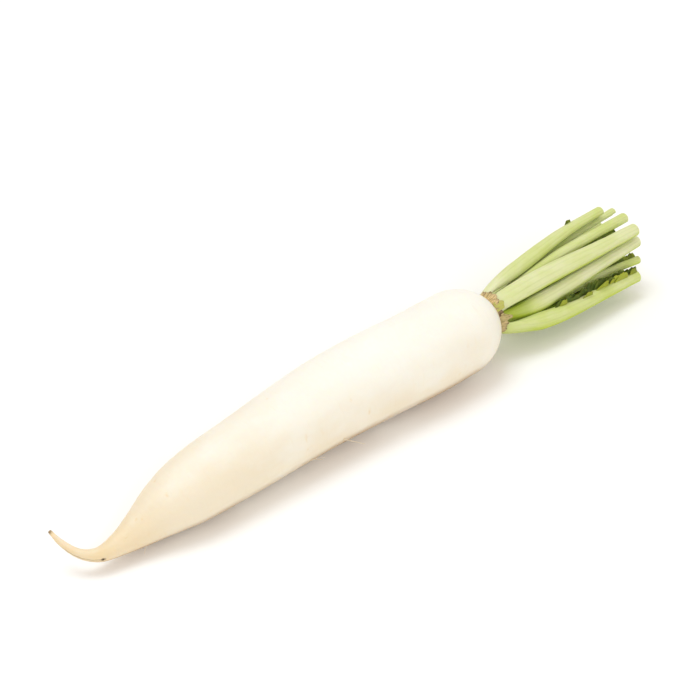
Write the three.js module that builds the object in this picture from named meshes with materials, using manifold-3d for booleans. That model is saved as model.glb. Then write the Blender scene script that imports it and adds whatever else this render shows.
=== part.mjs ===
// A daikon radish lying on its side: a long white taproot with a curled tail, a corky crown,
// and a bunch of trimmed leaf stalks with shreds of leaf still on them.
// Millimetres. +X runs from the tail to the leaf stalks and +Z is up. The origin is the
// middle of the narrow flat strip that the belly rests on.

import * as THREE from "three";
import { mergeVertices } from "three/addons/utils/BufferGeometryUtils.js";
import Module from "manifold-3d";

const wasm = await Module();
wasm.setup();

// The root's middle line, from the broken tail tip to the crown: x, y, z
const ROOT_LINE = [
  [-212.5, 18.6, 26.0],
  [-209.4, 10.7, 19.4],
  [-203.8, 0.9, 14.3],
  [-194.0, -5.2, 11.9],
  [-180.0, -5.8, 12.2],
  [-164.0, -5.0, 14.4],
  [-143.8, -4.4, 19.2],
  [-123.0, -4.2, 22.4],
  [-84.0, -2.6, 24.7],
  [-21.0, 0.1, 28.0],
  [36.0, -1.2, 29.8],
  [78.0, -3.6, 30.5],
  [139.8, -3.6, 30.5],
];

// The root's thickness: distance along the middle line from the tail tip, and the radius there
const ROOT_RADII = [
  [1.0, 1.2],
  [11.0, 2.1],
  [23.0, 3.0],
  [36.0, 4.9],
  [50.0, 7.7],
  [66.0, 12.1],
  [86.0, 18.1],
  [107.0, 22.3],
  [146.0, 25.1],
  [209.0, 28.5],
  [266.0, 30.4],
  [311.0, 31.0],
  [339.0, 30.7],
];

// The shoulder: a quarter ellipse that closes in to the lip round the crown
const SHOULDER_LENGTH = 36;
const LIP_RADIUS = 16.8;
const LIP_ROUNDING = 0.5;
const RECESS_RADIUS = 15.7;
const RECESS_DEPTH = 1.4;

const ROOT_SIDES = 32;
const ROOT_RINGS = 39;
const SHOULDER_RINGS = 8;

// Gentle unevenness of the root's upper surface
const LUMP_HEIGHT = 0.45;
const LUMP_LENGTH = 19;
const LUMP_FADE = 90;

// The crown: a low disc in the recess, with old leaf bases standing round its edge
const CROWN_RADIUS = 15.3;
const CROWN_TOP = 2.2;
const FIT_GAP = 0.3;
const SCALE_THICKNESS = 1.0;
const SCALE_LEAN = 30;
const SCALE_SINK = 1.2;

// Dried leaf bases: place round the crown in degrees, width and height
const SCALES = [
  [12, 8, 4.0],
  [46, 9, 3.6],
  [79, 7, 4.5],
  [112, 10, 3.5],
  [158, 10, 9.5],
  [196, 9, 4.0],
  [228, 9, 4.5],
  [262, 7, 5.0],
  [296, 9, 3.5],
  [330, 8, 4.5],
];

// Leaf stalks. The route runs from the crown disc to the cut end: x along the crown's axis,
// y across it and z up. The sizes are width and thickness at the base, along the middle and
// at the cut end.
const STALKS = [
  {
    name: "stalk_1",
    route: [
      [0, 7.0, 9.4], [13, 9.0, 13.7], [44, 11.2, 16.1],
      [84, 14.9, 20.5], [112, 16.8, 22.0], [141, 17.7, 22.6],
    ],
    sizes: [[10.6, 4.4], [12.0, 13.2], [8.4, 8.2]],
    shreds: [{ from: 100, to: 112, towards: 50, height: 2.6 }],
  },
  {
    name: "stalk_2",
    route: [[0, 5.4, 1.2], [18, 8.5, 3.2], [75, 13.9, 10.5], [112, 16.9, 13.5], [158, 18.7, 15.3]],
    sizes: [[5.6, 4.0], [6.6, 6.0], [6.8, 6.4]],
    shreds: [],
  },
  {
    name: "stalk_3",
    route: [
      [0, 1.3, 5.5], [18, 2.0, 7.8], [44, 3.4, 11.1],
      [80, 4.6, 15.3], [110, 3.8, 17.4], [152, 2.9, 19.3],
    ],
    sizes: [[5.6, 4.0], [9.2, 8.4], [8.4, 8.0]],
    shreds: [{ from: 110, to: 133, towards: 205, height: 3.6 }],
  },
  {
    name: "stalk_4",
    route: [
      [0, -4.6, 10.0], [14, -5.7, 13.1], [56, -7.6, 15.5],
      [100, -10.1, 16.6], [146, -12.4, 18.4],
    ],
    sizes: [[13.6, 4.4], [14.6, 9.6], [9.8, 8.6]],
    shreds: [],
  },
  {
    name: "stalk_5",
    route: [
      [0, -5.4, 1.4], [23, -10.6, -0.4], [52, -12.6, 0.4],
      [100, -13.0, 3.8], [150, -12.8, 6.8],
    ],
    sizes: [[6.4, 4.0], [13.0, 9.2], [8.4, 7.2]],
    shreds: [],
  },
  {
    name: "stalk_6",
    route: [
      [0, -3.0, -4.7], [24, -5.0, -7.4], [84, -10.3, -7.1],
      [118, -11.7, -7.4], [151, -14.2, -9.1],
    ],
    sizes: [[6.0, 4.0], [7.4, 7.0], [6.8, 6.8]],
    shreds: [{ from: 104, to: 149, towards: 72, height: 3.4 }],
  },
  {
    name: "stalk_7",
    route: [
      [0, -9.9, -4.9], [12, -15.8, -6.8], [50, -20.5, -10.9],
      [90, -22.4, -12.5], [139, -23.7, -14.3],
    ],
    sizes: [[12.6, 4.4], [12.8, 14.4], [9.4, 9.6]],
    shreds: [
      { from: 52, to: 84, towards: 88, height: 4.8 },
      { from: 88, to: 136, towards: 78, height: 6.0 },
    ],
  },
  {
    name: "stalk_8",
    route: [[0, 1.0, -11.0], [16, -1.3, -14.7], [66, -5.9, -17.3], [140, -8.0, -18.0]],
    sizes: [[11.2, 4.4], [11.0, 8.8], [8.6, 7.4]],
    shreds: [{ from: 80, to: 106, towards: 20, height: 3.2 }],
  },
  {
    name: "stalk_9",
    route: [[0, 10.5, -3.4], [16, 14.7, -3.7], [68, 19.0, 2.1], [148, 21.5, 4.4]],
    sizes: [[11.2, 4.4], [11.0, 8.8], [8.6, 7.2]],
    shreds: [{ from: 52, to: 84, towards: 20, height: 3.2 }],
  },
  {
    name: "stalk_10",
    route: [[0, 3.6, -4.3], [22, 5.4, -7.1], [72, 8.1, -11.2], [150, 9.6, -13.8]],
    sizes: [[6.0, 4.0], [9.6, 8.0], [7.6, 6.8]],
    shreds: [],
  },
  {
    name: "stalk_11",
    route: [[0, 0, 0], [22, -0.7, 0.1], [72, -2.0, 0.2], [140, -2.7, 1.5]],
    sizes: [[4.6, 4.6], [6.8, 6.0], [5.8, 5.2]],
    shreds: [],
  },
];

const STALK_SIDES = 14;
const STALK_STEPS = 13;
// Rings stand closer together near the base, and the last one rounds the edge of the cut
const RING_CROWDING = 1.35;
const CUT_EDGE = 1.2;
const CUT_ROUNDING = 0.84;
// How far from the crown a stalk's wrapped base has opened out, and where it is full size
const OPENED_AT = 26;
const FULL_SIZE_AT = 40;
const GROOVE_DEPTH = 0.5;

const SHRED_THICKNESS = 0.8;
const SHRED_STEP = 3.2;
const SHRED_WAVE = 0.7;
const SHRED_SINK = 2.2;

const degrees = THREE.MathUtils.degToRad;
const mix = THREE.MathUtils.lerp;
const smooth = THREE.MathUtils.smoothstep;

function vectors(points) {
  return points.map((point) => new THREE.Vector3(...point));
}

function closed(geometry) {
  const bare = geometry.clone();
  bare.deleteAttribute("normal");
  bare.deleteAttribute("uv");
  return mergeVertices(bare, 1e-4);
}

function solidOf(geometry) {
  const shell = closed(geometry);
  return new wasm.Manifold(new wasm.Mesh({
    numProp: 3,
    vertProperties: new Float32Array(shell.attributes.position.array),
    triVerts: new Uint32Array(shell.index.array),
  }));
}

function geometryOf(solid) {
  const mesh = solid.getMesh();
  const geometry = new THREE.BufferGeometry();
  geometry.setAttribute("position", new THREE.BufferAttribute(mesh.vertProperties, 3));
  geometry.setIndex(new THREE.BufferAttribute(mesh.triVerts, 1));
  geometry.computeVertexNormals();
  return geometry;
}

// Moves every vertex of a geometry to the place that a function gives for it
function reshape(geometry, place) {
  const position = geometry.attributes.position;
  const vertex = new THREE.Vector3();
  for (let i = 0; i < position.count; i += 1) {
    vertex.fromBufferAttribute(position, i);
    place(vertex);
    position.setXYZ(i, vertex.x, vertex.y, vertex.z);
  }
  return geometry;
}

const rootLine = new THREE.CatmullRomCurve3(vectors(ROOT_LINE), false, "catmullrom", 0.5);
rootLine.arcLengthDivisions = 600;
const rootLength = rootLine.getLength();

// The root's own directions at a share of its length: along it, sideways and upwards
function rootDirections(share) {
  const along = rootLine.getTangentAt(share);
  const across = new THREE.Vector3(0, 0, 1).cross(along).normalize();
  const above = along.clone().cross(across);
  return { along, across, above };
}

// Half outline of the root, as radius and distance from the tail tip
function rootProfile() {
  const spline = new THREE.SplineCurve(ROOT_RADII.map(([d, r]) => new THREE.Vector2(r, d)));
  const body = spline.getPoints(ROOT_RINGS);
  const [shoulderStart, fullRadius] = ROOT_RADII[ROOT_RADII.length - 1];
  const lipAngle = Math.acos(LIP_RADIUS / fullRadius);
  const shoulder = [];
  for (let i = 1; i <= SHOULDER_RINGS; i += 1) {
    const angle = lipAngle * i / SHOULDER_RINGS;
    shoulder.push(new THREE.Vector2(
      fullRadius * Math.cos(angle),
      shoulderStart + SHOULDER_LENGTH * Math.sin(angle),
    ));
  }
  const lip = shoulder[shoulder.length - 1].y;
  const recess = [
    new THREE.Vector2(RECESS_RADIUS + LIP_ROUNDING, lip + LIP_ROUNDING / 2),
    new THREE.Vector2(RECESS_RADIUS, lip),
    new THREE.Vector2(RECESS_RADIUS, lip - RECESS_DEPTH),
    new THREE.Vector2(0, lip - RECESS_DEPTH),
  ];
  return { points: [new THREE.Vector2(0, 0), ...body, ...shoulder, ...recess], lip };
}

const rootOutline = rootProfile();

function rootGeometry() {
  const blank = new THREE.LatheGeometry(rootOutline.points, ROOT_SIDES, Math.PI / ROOT_SIDES);
  const bent = reshape(blank, (vertex) => {
    const distance = vertex.y;
    const radius = Math.hypot(vertex.x, vertex.z);
    const round = Math.atan2(-vertex.x, vertex.z);
    const upper = (1 + Math.cos(round)) / 2;
    const fade = smooth(distance, 20, LUMP_FADE) * smooth(radius, LIP_RADIUS, LIP_RADIUS + 8);
    const lump = LUMP_HEIGHT * upper * fade
      * Math.sin(distance / LUMP_LENGTH + 2.1 * Math.sin(round));
    const share = Math.min(distance / rootLength, 1);
    const { across, above } = rootDirections(share);
    const centre = rootLine.getPointAt(share);
    vertex.copy(centre)
      .addScaledVector(across, (radius + lump) * Math.sin(round))
      .addScaledVector(above, (radius + lump) * Math.cos(round));
    vertex.z = Math.max(vertex.z, 0);
  });
  return geometryOf(solidOf(bent));
}

// One dried leaf base: a thin pointed plate, rooted in the disc's edge and leaning outwards
function scaleGeometry(place, width, height) {
  const outline = new THREE.Shape([
    new THREE.Vector2(-width / 2, -SCALE_SINK),
    new THREE.Vector2(width / 2, -SCALE_SINK),
    new THREE.Vector2(width * 0.42, height * 0.35),
    new THREE.Vector2(width * 0.1, height),
    new THREE.Vector2(-width * 0.12, height * 0.92),
    new THREE.Vector2(-width * 0.46, height * 0.3),
  ]);
  const plate = new THREE.ExtrudeGeometry(outline, { depth: SCALE_THICKNESS, bevelEnabled: false });
  // Turned so that the height runs along x and the thickness outwards along z
  plate.rotateZ(-Math.PI / 2);
  plate.rotateY(-degrees(SCALE_LEAN));
  plate.translate(CROWN_TOP, 0, CROWN_RADIUS - SCALE_THICKNESS - 0.1);
  plate.rotateX(degrees(place - 90));
  return plate;
}

// The crown in its own frame: x out along the crown's axis, from the lip of the root
function crownGeometry() {
  const bottom = FIT_GAP - RECESS_DEPTH;
  const disc = new THREE.LatheGeometry([
    new THREE.Vector2(0, bottom),
    new THREE.Vector2(CROWN_RADIUS, bottom),
    new THREE.Vector2(CROWN_RADIUS, CROWN_TOP - 0.8),
    new THREE.Vector2(CROWN_RADIUS - 0.8, CROWN_TOP),
    new THREE.Vector2(0, CROWN_TOP),
  ], ROOT_SIDES);
  disc.rotateZ(-Math.PI / 2);
  let crown = solidOf(disc);
  for (const [place, width, height] of SCALES) {
    crown = crown.add(solidOf(scaleGeometry(place, width, height)));
  }
  return geometryOf(crown);
}

// A stalk's middle line, with the direction that its rounded back faces at its base and beyond
function stalkRoute(route) {
  const line = new THREE.CatmullRomCurve3(vectors(route), false, "catmullrom", 0.5);
  const [, baseY, baseZ] = route[0];
  const [reach, endY, endZ] = route[route.length - 1];
  const baseRadius = Math.hypot(baseY, baseZ);
  const endFacing = Math.atan2(endZ, endY);
  const baseFacing = baseRadius > 0 ? Math.atan2(baseZ, baseY) : endFacing;
  const turn = Math.atan2(Math.sin(endFacing - baseFacing), Math.cos(endFacing - baseFacing));
  return { line, reach, baseRadius, baseFacing, turn };
}

// The point of a curve at a given x, found by halving
function pointAt(line, x) {
  let low = 0;
  let high = 1;
  for (let i = 0; i < 24; i += 1) {
    const middle = (low + high) / 2;
    if (line.getPoint(middle).x < x) {
      low = middle;
    } else {
      high = middle;
    }
  }
  return line.getPoint(high);
}

// Width, thickness, wrap and groove of a stalk at a distance from the crown
function stalkSection(sizes, x, reach) {
  const [base, middle, cut] = sizes;
  const grown = smooth(x, 0, FULL_SIZE_AT);
  const thinned = smooth(x, FULL_SIZE_AT, reach);
  const [width, thickness] = [0, 1].map((k) => mix(mix(base[k], middle[k], grown), cut[k], thinned));
  return {
    width,
    thickness,
    wrap: 1 - smooth(x, 0, OPENED_AT),
    groove: GROOVE_DEPTH * smooth(x, OPENED_AT / 4, FULL_SIZE_AT),
  };
}

// A stalk with its shreds of leaf, in the crown's frame. Its sections stand square to x.
function stalkGeometry({ route, sizes, shreds }) {
  const { line, reach, baseRadius, baseFacing, turn } = stalkRoute(route);
  const blank = new THREE.CylinderGeometry(1, 1, STALK_STEPS, STALK_SIDES, STALK_STEPS);
  const stalk = reshape(blank, (vertex) => {
    const step = Math.round(vertex.y + STALK_STEPS / 2);
    const atCut = step === STALK_STEPS;
    const x = atCut ? reach : (reach - CUT_EDGE) * (step / (STALK_STEPS - 1)) ** RING_CROWDING;
    const { width, thickness, wrap, groove } = stalkSection(sizes, x, reach);
    const rounding = atCut ? CUT_ROUNDING : 1;
    const inward = Math.max(-vertex.z, 0);
    const across = rounding * vertex.x * width / 2;
    const outward = rounding * vertex.z * (1 - groove * inward ** 3) * thickness / 2;
    // The base is wrapped round the middle of the bunch
    const bend = baseRadius > 0 ? Math.max(wrap / baseRadius, 1e-4) : 1e-4;
    const rolled = (1 / bend + outward) * Math.sin(bend * across);
    const raised = (1 / bend + outward) * Math.cos(bend * across) - 1 / bend;
    const facing = baseFacing + turn * smooth(x, 0, FULL_SIZE_AT);
    const centre = pointAt(line, x);
    vertex.set(
      x,
      centre.y + raised * Math.cos(facing) - rolled * Math.sin(facing),
      centre.z + raised * Math.sin(facing) + rolled * Math.cos(facing),
    );
  });

  let solid = solidOf(stalk);
  for (const shred of shreds) {
    solid = solid.add(solidOf(shredGeometry(line, reach, sizes, shred)));
  }
  return geometryOf(solid);
}

// A shred of leaf: a thin torn strip that stands out of the stalk in one direction
function shredGeometry(line, reach, sizes, { from, to, towards, height }) {
  const length = to - from;
  const steps = Math.round(length / SHRED_STEP);
  const tornHeight = (step) => {
    const fromEnd = Math.min(step, steps - step);
    const ragged = 0.62 + 0.38 * Math.sin(2.4 * step + from);
    return SHRED_SINK + height * ragged * Math.min(1, (fromEnd + 0.6) / 2);
  };
  const outline = [];
  for (let step = 0; step <= steps; step += 1) {
    outline.push(new THREE.Vector2(length * step / steps, 0));
  }
  for (let step = steps; step >= 0; step -= 1) {
    outline.push(new THREE.Vector2(length * step / steps, tornHeight(step)));
  }
  const strip = new THREE.ExtrudeGeometry(new THREE.Shape(outline), {
    depth: SHRED_THICKNESS,
    bevelEnabled: false,
  });
  const out = new THREE.Vector2(Math.cos(degrees(towards)), Math.sin(degrees(towards)));
  return reshape(strip, (vertex) => {
    const x = from + vertex.x;
    const { thickness } = stalkSection(sizes, x, reach);
    const outward = thickness / 2 - SHRED_SINK + vertex.y;
    const wave = SHRED_WAVE * Math.sin(x / SHRED_STEP) * vertex.y / (height + SHRED_SINK);
    const aside = vertex.z - SHRED_THICKNESS / 2 + wave;
    const centre = pointAt(line, x);
    vertex.set(
      x,
      centre.y + out.x * outward - out.y * aside,
      centre.z + out.y * outward + out.x * aside,
    );
  });
}

function piece(name, geometry, material) {
  const mesh = new THREE.Mesh(geometry, material);
  mesh.name = name;
  return mesh;
}

const rootSkin = new THREE.MeshStandardMaterial({ color: 0xf3ecdc, roughness: 0.45, metalness: 0 });
const crownCork = new THREE.MeshStandardMaterial({ color: 0xb98f5c, roughness: 0.85, metalness: 0 });
const leafStalk = new THREE.MeshStandardMaterial({ color: 0xb9cc7c, roughness: 0.5, metalness: 0 });

const radish = new THREE.Group();
radish.add(piece("root", rootGeometry(), rootSkin));

// The crown and the stalks share a frame at the lip of the root, with x along the crown's axis
const crownFrame = new THREE.Group();
const lipShare = Math.min(rootOutline.lip / rootLength, 1);
const crownDirections = rootDirections(lipShare);
crownFrame.position.copy(rootLine.getPointAt(lipShare));
crownFrame.quaternion.setFromRotationMatrix(new THREE.Matrix4().makeBasis(
  crownDirections.along,
  crownDirections.across,
  crownDirections.above,
));
crownFrame.add(piece("crown", crownGeometry(), crownCork));

const stalkFrame = new THREE.Group();
stalkFrame.position.x = CROWN_TOP + FIT_GAP;
for (const stalk of STALKS) {
  stalkFrame.add(piece(stalk.name, stalkGeometry(stalk), leafStalk));
}
crownFrame.add(stalkFrame);
radish.add(crownFrame);

export default radish;
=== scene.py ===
"""A daikon radish lying on a plain pale floor: a long white taproot with a curled tail, a corky
crown and a bunch of trimmed leaf stalks with scraps of leaf still on them.

The tables and the shapes are in millimetres, and add_piece makes metres of them. +X runs from
the tail to the leaf stalks, +Z is up, and the belly rests on z = 0.
"""

import bisect
import functools
import itertools
import math
import random

import bmesh
import bpy
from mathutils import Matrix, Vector, noise


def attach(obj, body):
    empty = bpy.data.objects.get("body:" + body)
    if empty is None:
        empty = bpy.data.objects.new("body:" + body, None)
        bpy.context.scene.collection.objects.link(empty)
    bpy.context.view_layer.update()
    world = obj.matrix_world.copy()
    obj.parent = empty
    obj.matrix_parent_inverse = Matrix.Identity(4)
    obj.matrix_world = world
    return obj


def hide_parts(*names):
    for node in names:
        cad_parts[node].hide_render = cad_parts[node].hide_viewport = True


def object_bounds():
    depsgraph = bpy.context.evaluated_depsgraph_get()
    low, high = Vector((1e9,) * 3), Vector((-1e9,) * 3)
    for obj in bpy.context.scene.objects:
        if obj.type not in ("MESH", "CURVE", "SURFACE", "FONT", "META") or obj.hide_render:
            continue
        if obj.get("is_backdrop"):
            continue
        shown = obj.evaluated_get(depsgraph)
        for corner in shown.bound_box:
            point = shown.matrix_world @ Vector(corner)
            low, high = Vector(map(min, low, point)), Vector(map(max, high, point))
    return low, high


bl_info = {
    "name": "Daikon Radish",
    "version": (1, 0, 0),
    "blender": (4, 5, 0),
    "location": "3D View > Sidebar > Daikon",
    "description": "Grows a daikon radish with its crown, leaf stalks and scraps of leaf",
    "category": "Add Mesh",
}

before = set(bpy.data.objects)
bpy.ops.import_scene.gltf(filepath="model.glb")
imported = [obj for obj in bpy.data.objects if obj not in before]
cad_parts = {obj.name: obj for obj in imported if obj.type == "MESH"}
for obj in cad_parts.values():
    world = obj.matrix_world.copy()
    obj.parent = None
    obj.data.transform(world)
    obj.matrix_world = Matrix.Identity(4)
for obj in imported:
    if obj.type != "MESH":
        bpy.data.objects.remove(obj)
CAD_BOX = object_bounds()

MM = 0.001
TINY = 1e-4
BODY = "root"

# The root's middle line, from the broken tail tip to the crown: x, y, z
ROOT_LINE = [
    (-212.5, 18.6, 26.0), (-209.4, 10.7, 19.4), (-203.8, 0.9, 14.3), (-194.0, -5.2, 11.9),
    (-180.0, -5.8, 12.2), (-164.0, -5.0, 14.4), (-143.8, -4.4, 19.2), (-123.0, -4.2, 22.4),
    (-84.0, -2.6, 24.7), (-21.0, 0.1, 28.0), (36.0, -1.2, 29.8), (78.0, -3.6, 30.5),
    (139.8, -3.6, 30.5),
]

# The root's thickness: distance along the middle line from the tail tip, and the radius there
ROOT_RADII = [
    (1.0, 1.2), (11.0, 2.1), (23.0, 3.0), (36.0, 4.9), (50.0, 7.7),
    (66.0, 12.1), (86.0, 18.1), (107.0, 22.3), (146.0, 25.1), (209.0, 28.5),
    (266.0, 30.4), (311.0, 31.0), (339.0, 30.7),
]

# The broken end of the tail: distance and radius, from its sunken middle outwards
TAIL_BREAK = [(0.5, 0.0), (0.1, 0.5), (0.0, 0.9), (0.4, 1.1)]

# The shoulder: a quarter ellipse that closes in to the lip round the crown
SHOULDER_LENGTH = 36.0
LIP_RADIUS = 16.8
RECESS_RADIUS = 15.7
RECESS_DEPTH = 1.4
LIP_ROLL = [(0.14, 16.55), (0.24, 16.25), (0.2, 15.9), (0.0, RECESS_RADIUS)]

RING_SPACING = 1.15
ROOT_SIDES = 176
SHOULDER_RINGS = 26

# Gentle unevenness of the skin
LUMP_HEIGHT = 0.45
LUMP_LENGTH = 19.0
LUMP_FADE = 90.0
DENT_LENGTH = 26.0
RING_LENGTH = 2.2
RING_REACH = 34.0

# Marks where fine side roots broke off: distance, turn round the root in degrees, length
# across the root, and depth. A turn of 0 is the top and -90 the near side.
SEEN_SCARS = [
    (224.0, -58, 3.0, 0.10),
    (215.0, -111, 3.0, 0.16),
    (182.0, -72, 8.0, 0.12),
    (178.0, 10, 3.0, 0.10),
    (88.6, 22, 2.0, 0.22),
    (86.3, -24, 3.6, 0.16),
    (66.7, -23, 2.4, 0.16),
    (64.6, -72, 4.5, 0.10),
    (63.8, -11, 2.6, 0.18),
    (61.5, 31, 2.0, 0.24),
    (51.7, -37, 1.4, 0.24),
    (51.3, 24, 1.6, 0.28),
]

# The other scars are scattered round the two rows of side roots, closer together towards the
# tail. A scar's length and depth lie between the two values given.
SCAR_ROWS = (-100, 80)
SCAR_SPREAD = 24
HIDDEN_SCARS = 34
HIDDEN_FROM = 40
HIDDEN_REACH = 290
HIDDEN_LENGTHS = (1.5, 7.0)
HIDDEN_DEPTHS = (0.05, 0.17)
SCAR_SEED = 11

# How far along the root a scar can be felt, how dark it is for its depth, and how dark the
# tail's broken tip and the skin next to the crown are
SCAR_REACH = 4
SCAR_SHADE = 1.9
SCAR_DARKEST = 0.5
TIP_SHADE = 0.7
LIP_SHADE = 0.3

# The split along the underside of the tail: the distances that it starts and ends at, and its
# turn in degrees. It ends in a dark pit.
SPLIT_START = 6.0
SPLIT_END = 35.6
SPLIT_TURN = -98
SPLIT_DEPTH = 0.3
SPLIT_WIDTH = 0.42
SPLIT_PIT = 1.25

# Fine side roots still on the skin: distance, turn in degrees, length, lean towards the crown
# in degrees and droop
ROOTLETS = [
    (214, -112, 15.0, 46, 1.6),
    (184, -119, 13.0, 74, 1.6),
    (187, -122, 9.0, 66, 1.2),
    (168, 96, 8.0, 40, 2.0),
    (104, 112, 7.0, -35, 1.6),
    (62, -128, 5.0, -55, 0.8),
]
ROOTLET_RADII = (0.32, 0.10)
ROOTLET_SINK = 0.4
ROOTLET_GRID = (6, 10)

# The crown: a low corky disc in the recess
CROWN_RADIUS = 15.3
CROWN_TOP = 2.2
CROWN_BEVEL = 0.8
FIT_GAP = 0.3
CROWN_SIDES = 120
CORK_FLECK = (0.10, 0.055, 0.02)

# Dried leaf bases: place round the crown in degrees, width, height, the share of the width that
# is left at the tip, and how green, how orange and how dark they are
HUSKS = [
    (12, 9, 4.0, 0.4, 0.1, 0.4, 0.2),
    (46, 10, 4.6, 0.6, 0.0, 0.6, 0.2),
    (66, 9, 5.6, 0.7, 0.0, 0.8, 0.1),
    (81, 10, 7.0, 0.8, 0.1, 0.9, 0.0),
    (96, 9, 7.2, 0.8, 0.0, 1.0, 0.0),
    (110, 8, 6.0, 0.7, 0.0, 1.0, 0.1),
    (125, 7, 7.6, 0.85, 1.0, 0.0, 0.0),
    # Painted fully dark as the shade of the crevice between the green husk and the tall one
    (144, 5, 4.0, 0.8, 0.0, 0.0, 1.0),
    (161, 9, 9.6, 0.35, 0.3, 0.3, 0.2),
    (178, 9, 5.8, 0.7, 0.1, 0.6, 0.2),
    (196, 9, 5.2, 0.6, 0.1, 0.3, 0.2),
    (228, 9, 4.5, 0.4, 0.3, 0.3, 0.3),
    (262, 7, 5.0, 0.3, 0.0, 0.2, 0.4),
    (296, 9, 3.5, 0.6, 0.2, 0.5, 0.2),
    (330, 8, 4.5, 0.4, 0.0, 0.4, 0.3),
]
HUSK_LEAN = 30
HUSK_SINK = 1.2
HUSK_INSET = 0.8
HUSK_GRID = (16, 14)
HUSK_ATTRIBUTES = ("rise", "green", "orange", "dark")

# A fringe of small torn husks, whose values after the place lie in these spans
FRINGE_COUNT = 52
FRINGE_SPANS = [(1.6, 4.2), (0.8, 2.4), (0.3, 0.8), (0, 0.3), (0, 0.7), (0, 0.6)]
FRINGE_GRID = (6, 6)
FRINGE_SEED = 5

# Leaf stalks, each a route from the crown disc to the cut end: x along the crown's axis, y
# across it and z up
STALK_ROUTES = [
    [(0, 7.0, 9.4), (13, 9.0, 13.7), (44, 11.2, 16.1), (84, 14.9, 20.5), (112, 16.8, 22.0),
     (141, 17.7, 22.6)],
    [(0, 5.4, 1.2), (18, 8.5, 3.2), (75, 13.9, 10.5), (112, 16.9, 13.5), (158, 18.7, 15.3)],
    [(0, 1.3, 5.5), (18, 2.0, 7.8), (44, 3.4, 11.1), (80, 4.6, 15.3), (110, 3.8, 17.4),
     (152, 2.9, 19.3)],
    [(0, -4.6, 10.0), (14, -5.7, 13.1), (56, -7.6, 15.5), (100, -10.1, 16.6),
     (146, -12.4, 18.4)],
    [(0, -5.4, 1.4), (23, -10.6, -0.4), (52, -12.6, 0.4), (100, -13.0, 3.8), (150, -12.8, 6.8)],
    [(0, -3.0, -4.7), (24, -5.0, -7.4), (84, -10.3, -7.1), (118, -11.7, -7.4),
     (151, -14.2, -9.1)],
    [(0, -9.9, -4.9), (12, -15.8, -6.8), (50, -20.5, -10.9), (90, -22.4, -12.5),
     (139, -23.7, -14.3)],
    [(0, 1.0, -11.0), (16, -1.3, -14.7), (66, -5.9, -17.3), (140, -8.0, -18.0)],
    [(0, 10.5, -3.4), (16, 14.7, -3.7), (68, 19.0, 2.1), (148, 21.5, 4.4)],
    [(0, 3.6, -4.3), (22, 5.4, -7.1), (72, 8.1, -11.2), (150, 9.6, -13.8)],
    [(0, 0, 0), (22, -0.7, 0.1), (72, -2.0, 0.2), (140, -2.7, 1.5)],
]

# Width and thickness of each stalk at its base, along its middle and at its cut end
STALK_SIZES = [
    [(10.6, 4.4), (12.0, 13.2), (8.4, 8.2)],
    [(5.6, 4.0), (6.6, 6.0), (6.8, 6.4)],
    [(5.6, 4.0), (9.2, 8.4), (8.4, 8.0)],
    [(13.6, 4.4), (14.6, 9.6), (9.8, 8.6)],
    [(6.4, 4.0), (13.0, 9.2), (8.4, 7.2)],
    [(6.0, 4.0), (7.4, 7.0), (6.8, 6.8)],
    [(12.6, 4.4), (12.8, 14.4), (9.4, 9.6)],
    [(11.2, 4.4), (11.0, 8.8), (8.6, 7.4)],
    [(11.2, 4.4), (11.0, 8.8), (8.6, 7.2)],
    [(6.0, 4.0), (9.6, 8.0), (7.6, 6.8)],
    [(4.6, 4.6), (6.8, 6.0), (5.8, 5.2)],
]

# How green each stalk is at its base and beyond it, from pale at 0 to a full green at 1
# Stalk 5's deep base and the deep greens of the hidden stalks 8, 10 and 11 are painted shade for
# the gaps between the stalks
STALK_GREENS = [
    (0.05, 0.55), (0.3, 0.45), (0.35, 0.5), (0.22, 0.26), (1.3, 0.08), (0.7, 0.6),
    (0.6, 0.6), (0.6, 1.0), (0.3, 0.5), (0.8, 1.0), (0.8, 0.9),
]

# Scraps of leaf by the number of their stalk: where each starts and ends, the direction that it
# stands out in, in degrees, its height, and how light a green it is
SCRAPS = {
    1: [(102, 106, 50, 2.6, 0.25)],
    3: [(62, 106, 205, 3.0, 0.1), (108, 134, 205, 3.6, 0.1)],
    6: [(102, 136, 72, 2.4, 0.1), (134, 146, 66, 3.4, 0.35)],
    # Stalk 7's two long dark scraps stand as painted shade that fills the gap between stalks 5 and
    # 7
    7: [(50, 84, 88, 4.2, 0.0), (84, 134, 78, 5.1, 0.03), (54, 59, 102, 3.2, 0.8),
        (76, 83, 106, 4.4, 0.75), (92, 101, 106, 6.2, 1.1), (107, 120, 106, 6.6, 1.0),
        (129, 135, 98, 3.8, 0.5)],
    8: [(80, 106, 20, 4.2, 0.3), (60, 120, 110, 3.4, 0.0)],
    9: [(52, 84, 20, 4.8, 0.3)],
}

# The mesh of a stalk and its cut end: the length of its rounded edge, the share of the width
# that is left there, and how deep its middle is sunk
STALK_SIDES = 54
STALK_RINGS = 96
CUT_RINGS = 5
CUT_LOOPS = (0.12, 0.12, 0.12, 0.16, 0.16)
CUT_EDGE = 1.2
CUT_ROUNDING = 0.84
CUT_HOLLOW = 0.45

# How far from the crown a stalk's base has unwrapped and has its full size, its groove and its
# ribs
OPENED_AT = 26.0
FULL_SIZE_AT = 40.0
GROOVE_DEPTH = 0.5
RIB_COUNT = 11

# Each scrap is a row of lobes, a share of a lobe's width apart. A lobe's width and height are
# the scrap's height times values in the first two spans. It turns, curls and varies in shade
# by up to the last three values, either way.
SCRAP_SINK = 1.6
LOBE_GRID = (20, 8)
LOBE_PROPORTIONS = (2.0, 2.8)
LOBE_HEIGHTS = (0.7, 1.1)
LOBE_STEP = 0.3
LOBE_TURN = 9
LOBE_CURL = 0.35
LOBE_SHADE = 0.06

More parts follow.
